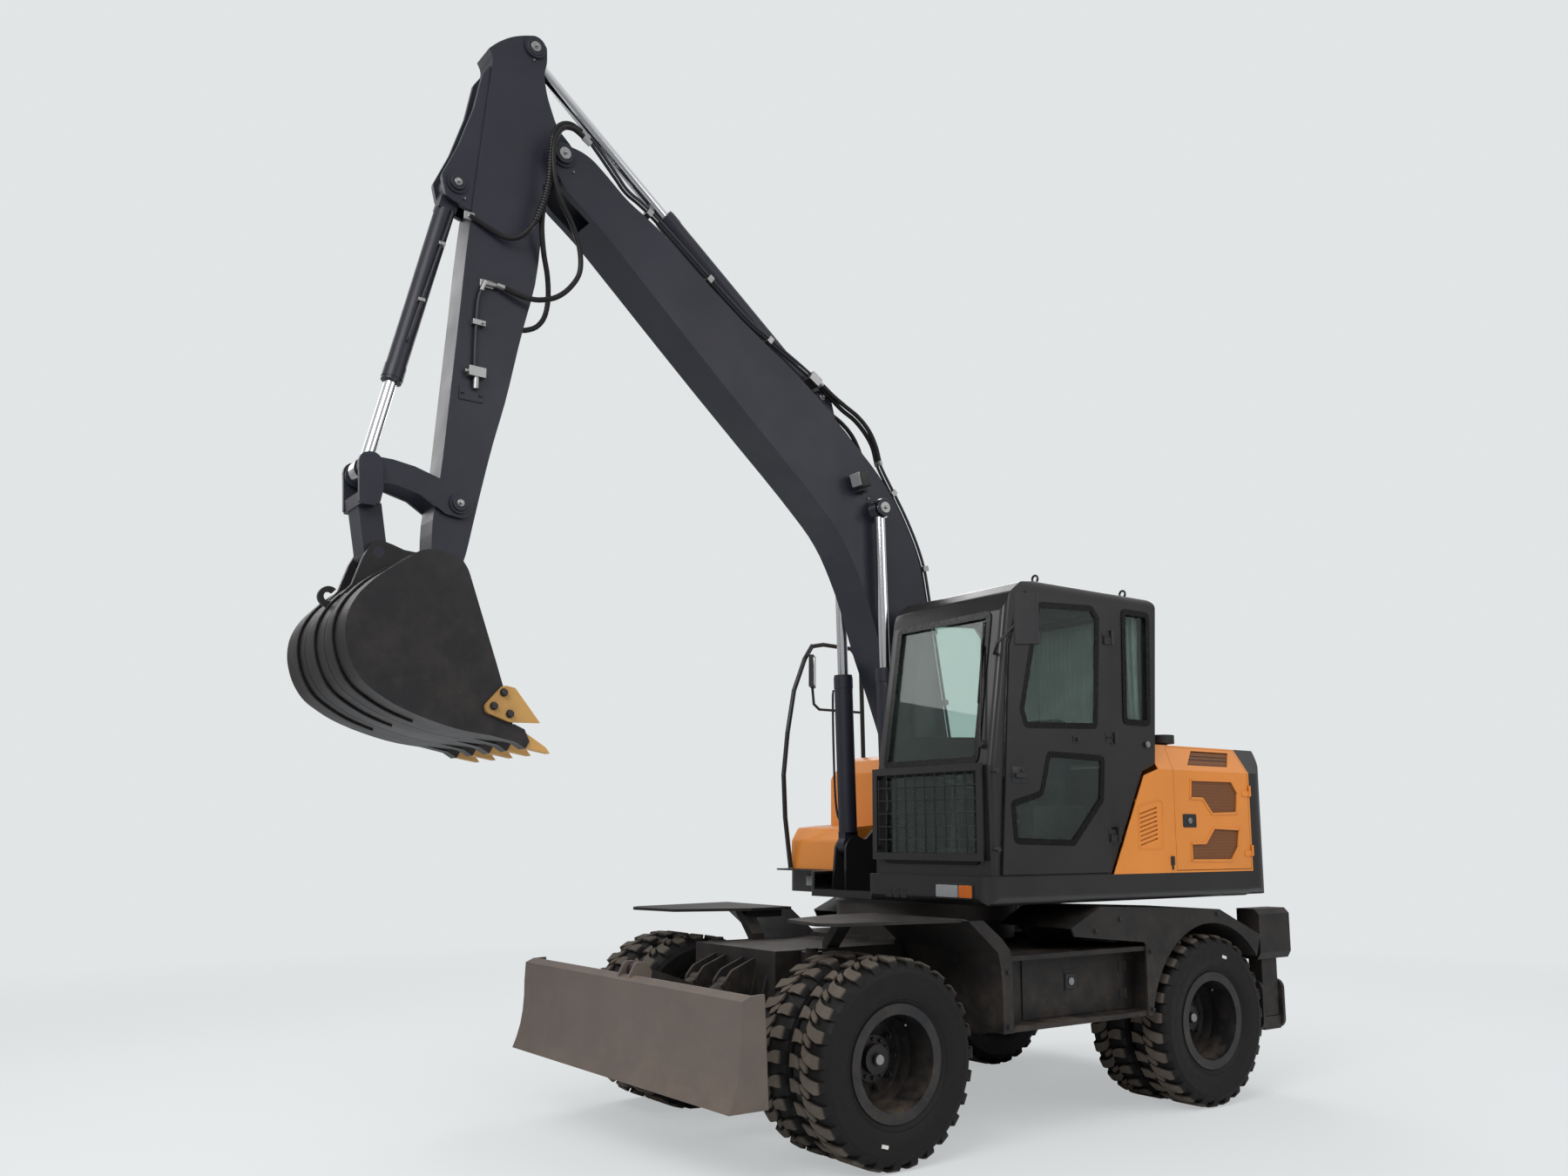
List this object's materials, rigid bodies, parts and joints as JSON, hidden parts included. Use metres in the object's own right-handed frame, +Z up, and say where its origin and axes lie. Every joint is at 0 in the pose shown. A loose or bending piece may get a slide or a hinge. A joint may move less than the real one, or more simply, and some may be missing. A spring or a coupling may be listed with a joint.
{
  "type": "wheeled excavator",
  "caption": "Wheeled excavator on twin tyres with front dozer blade, rear outriggers, cab, one-piece boom, arm and toothed bucket.",
  "frame": {"origin": "on the ground under the centre of the slew ring", "axes": "+X towards the cab side, -Y towards the front, +Z up"},
  "size_m": [2.7565, 6.1237, 6.2382],
  "materials": {
    "orange": "satin",
    "dark": "satin",
    "slate": "satin",
    "chassis_dark": "matt",
    "chrome": "polished",
    "cast": "rough",
    "tyre": "matt",
    "glass": "clear",
    "plastic": "matt",
    "seat": "woven",
    "lens": "glossy",
    "tooth": "rough"
  },
  "bodies": {
    "chassis": {"chassis_frame": "chassis_dark", "slew_ring": "cast", "front_fenders": "chassis_dark", "rear_fenders": "chassis_dark", "toolboxes": "chassis_dark", "front_axle": "cast", "rear_axle": "cast", "driveline": "cast", "outrigger_boxes": "chassis_dark"},
    "toolbox_door": {"toolbox_door": "chassis_dark"},
    "leg_left": {"outrigger_leg_left": "chassis_dark"},
    "leg_right": {"outrigger_leg_right": "chassis_dark"},
    "knuckle_left": {"knuckle_left": "chassis_dark"},
    "knuckle_right": {"knuckle_right": "chassis_dark"},
    "wheel_front_left": {"tyres_front_left": "tyre", "rims_front_left": "chassis_dark"},
    "wheel_front_right": {"tyres_front_right": "tyre", "rims_front_right": "chassis_dark"},
    "wheel_rear_left": {"tyres_rear_left": "tyre", "rims_rear_left": "chassis_dark"},
    "wheel_rear_right": {"tyres_rear_right": "tyre", "rims_rear_right": "chassis_dark"},
    "blade_arms": {"blade_arms": "chassis_dark"},
    "blade": {"blade": "chassis_dark"},
    "blade_link": {"blade_link": "chassis_dark"},
    "blade_barrels": {"blade_barrels": "chassis_dark"},
    "blade_rods": {"blade_rods": "chrome"},
    "upper": {"deck": "dark", "skirts": "dark", "cab_shell": "dark", "cab_glass": "glass", "front_guard": "dark", "operator_seat": "seat", "engine": "cast", "hood": "orange", "intake_cap": "chassis_dark", "counterweight": "dark", "fuel_tank": "orange", "front_box": "orange", "handrails": "dark", "mirrors": "plastic", "lamps": "lens"},
    "cab_door": {"cab_door": "dark", "door_glass": "glass"},
    "hood_door_left": {"hood_door_left": "orange"},
    "hood_door_right": {"hood_door_right": "orange"},
    "boom": {"boom": "slate"},
    "boom_barrels": {"boom_barrels": "slate"},
    "boom_rods": {"boom_rods": "chrome"},
    "arm": {"arm": "slate"},
    "arm_barrel": {"arm_barrel": "slate"},
    "arm_rod": {"arm_rod": "chrome"},
    "bucket": {"bucket": "slate", "bucket_teeth": "tooth"},
    "bucket_barrel": {"bucket_barrel": "slate"},
    "bucket_rod": {"bucket_rod": "chrome"},
    "idler": {"idler_links": "slate"},
    "bucket_link": {"bucket_link": "slate"}
  },
  "joints": [
    {"name": "slew", "type": "hinge", "parent": "chassis", "child": "upper", "pos_m": [0, 0, 1.26], "axis": [0, 0, 1], "continuous": true},
    {"name": "boom_lift", "type": "hinge", "parent": "upper", "child": "boom", "pos_m": [-0.1, 0.1, 1.87], "axis": [1, 0, 0], "range_deg": [-6, 70]},
    {"name": "boom_barrel_swing", "type": "hinge", "parent": "upper", "child": "boom_barrels", "pos_m": [-0.1, -0.4, 1.61], "axis": [1, 0, 0], "range_deg": [-8, 78]},
    {"name": "boom_rod_slide", "type": "slide", "parent": "boom_barrels", "child": "boom_rods", "axis": [0, -0.0359, 0.9994], "range_m": [-0.65, 0.06]},
    {"name": "arm_swing", "type": "hinge", "parent": "boom", "child": "arm", "pos_m": [-0.1, -2.754, 5.528], "axis": [-1, 0, 0], "range_deg": [-10, 94]},
    {"name": "arm_barrel_swing", "type": "hinge", "parent": "boom", "child": "arm_barrel", "pos_m": [-0.1, -0.842, 4.51], "axis": [-1, 0, 0], "range_deg": [-2, 8]},
    {"name": "arm_rod_slide", "type": "slide", "parent": "arm_barrel", "child": "arm_rod", "axis": [0, -0.7832, 0.6218], "range_m": [-1, 0.12]},
    {"name": "bucket_curl", "type": "hinge", "parent": "arm", "child": "bucket", "pos_m": [-0.1, -3.31, 3.02], "axis": [1, 0, 0], "range_deg": [-40, 85]},
    {"name": "idler_swing", "type": "hinge", "parent": "arm", "child": "idler", "pos_m": [-0.1, -3.258, 3.395], "axis": [1, 0, 0], "range_deg": [-35, 72]},
    {"name": "bucket_link_swing", "type": "hinge", "parent": "bucket", "child": "bucket_link", "pos_m": [-0.1, -3.668, 3.078], "axis": [1, 0, 0], "range_deg": [-78, 38]},
    {"name": "bucket_barrel_swing", "type": "hinge", "parent": "arm", "child": "bucket_barrel", "pos_m": [-0.1, -3.34, 5.193], "axis": [1, 0, 0], "range_deg": [-3, 7]},
    {"name": "bucket_rod_slide", "type": "slide", "parent": "bucket_barrel", "child": "bucket_rod", "axis": [0, -0.228, -0.9737], "range_m": [-0.26, 0.53]},
    {"name": "cab_door_swing", "type": "hinge", "parent": "upper", "child": "cab_door", "pos_m": [1.252, 0.432, 2.2], "axis": [0, 0, 1], "range_deg": [0, 100]},
    {"name": "hood_door_left_swing", "type": "hinge", "parent": "upper", "child": "hood_door_left", "pos_m": [1.25, 1.766, 1.7], "axis": [0, 0, 1], "range_deg": [0, 110]},
    {"name": "hood_door_right_swing", "type": "hinge", "parent": "upper", "child": "hood_door_right", "pos_m": [-1.25, 1.766, 1.7], "axis": [0, 0, -1], "range_deg": [0, 110]},
    {"name": "toolbox_door_swing", "type": "hinge", "parent": "chassis", "child": "toolbox_door", "pos_m": [1.112, 0.606, 0.8], "axis": [0, 0, 1], "range_deg": [0, 105]},
    {"name": "steer_left", "type": "hinge", "parent": "chassis", "child": "knuckle_left", "pos_m": [0.7, -1.3, 0.525], "axis": [0, 0, 1], "range_deg": [-30, 30]},
    {"name": "steer_right", "type": "hinge", "parent": "chassis", "child": "knuckle_right", "pos_m": [-0.7, -1.3, 0.525], "axis": [0, 0, 1], "range_deg": [-30, 30]},
    {"name": "wheel_front_left_spin", "type": "hinge", "parent": "knuckle_left", "child": "wheel_front_left", "pos_m": [0.9485, -1.3, 0.525], "axis": [1, 0, 0], "continuous": true},
    {"name": "wheel_front_right_spin", "type": "hinge", "parent": "knuckle_right", "child": "wheel_front_right", "pos_m": [-0.9485, -1.3, 0.525], "axis": [1, 0, 0], "continuous": true},
    {"name": "wheel_rear_left_spin", "type": "hinge", "parent": "chassis", "child": "wheel_rear_left", "pos_m": [0.9485, 1.295, 0.525], "axis": [1, 0, 0], "continuous": true},
    {"name": "wheel_rear_right_spin", "type": "hinge", "parent": "chassis", "child": "wheel_rear_right", "pos_m": [-0.9485, 1.295, 0.525], "axis": [1, 0, 0], "continuous": true},
    {"name": "blade_lift", "type": "hinge", "parent": "chassis", "child": "blade_arms", "pos_m": [0, -1.62, 0.42], "axis": [1, 0, 0], "range_deg": [-2, 43]},
    {"name": "blade_level", "type": "hinge", "parent": "blade_arms", "child": "blade", "pos_m": [0, -2.13, 0.6], "axis": [1, 0, 0], "range_deg": [-43, 2]},
    {"name": "blade_link_swing", "type": "hinge", "parent": "chassis", "child": "blade_link", "pos_m": [0, -1.62, 0.76], "axis": [1, 0, 0], "range_deg": [-4, 43]},
    {"name": "blade_barrel_swing", "type": "hinge", "parent": "chassis", "child": "blade_barrels", "pos_m": [0, -1.65, 0.845], "axis": [1, 0, 0], "range_deg": [-3, 24]},
    {"name": "blade_rod_slide", "type": "slide", "parent": "blade_barrels", "child": "blade_rods", "axis": [0, -0.8584, -0.513], "range_m": [-0.03, 0.26]},
    {"name": "leg_left_slide", "type": "slide", "parent": "chassis", "child": "leg_left", "axis": [0, 0, -1], "range_m": [0, 0.4]},
    {"name": "leg_right_slide", "type": "slide", "parent": "chassis", "child": "leg_right", "axis": [0, 0, -1], "range_m": [0, 0.4]}
  ],
  "couplings": [
    {"joint": "boom_barrel_swing", "follows": "boom_lift", "ratio": 1.04},
    {"joint": "boom_rod_slide", "follows": "boom_lift", "m_per_rad": -0.495},
    {"joint": "arm_barrel_swing", "follows": "arm_swing", "ratio": 0.06},
    {"joint": "arm_rod_slide", "follows": "arm_swing", "m_per_rad": -0.575},
    {"joint": "idler_swing", "follows": "bucket_curl", "ratio": 0.71},
    {"joint": "bucket_link_swing", "follows": "bucket_curl", "ratio": -0.76},
    {"joint": "bucket_barrel_swing", "follows": "bucket_curl", "ratio": 0.045},
    {"joint": "bucket_rod_slide", "follows": "bucket_curl", "m_per_rad": 0.305},
    {"joint": "steer_right", "follows": "steer_left", "ratio": 1},
    {"joint": "blade_level", "follows": "blade_lift", "ratio": -1},
    {"joint": "blade_link_swing", "follows": "blade_lift", "ratio": 1},
    {"joint": "blade_barrel_swing", "follows": "blade_lift", "ratio": 0.455},
    {"joint": "blade_rod_slide", "follows": "blade_lift", "m_per_rad": 0.328}
  ]
}
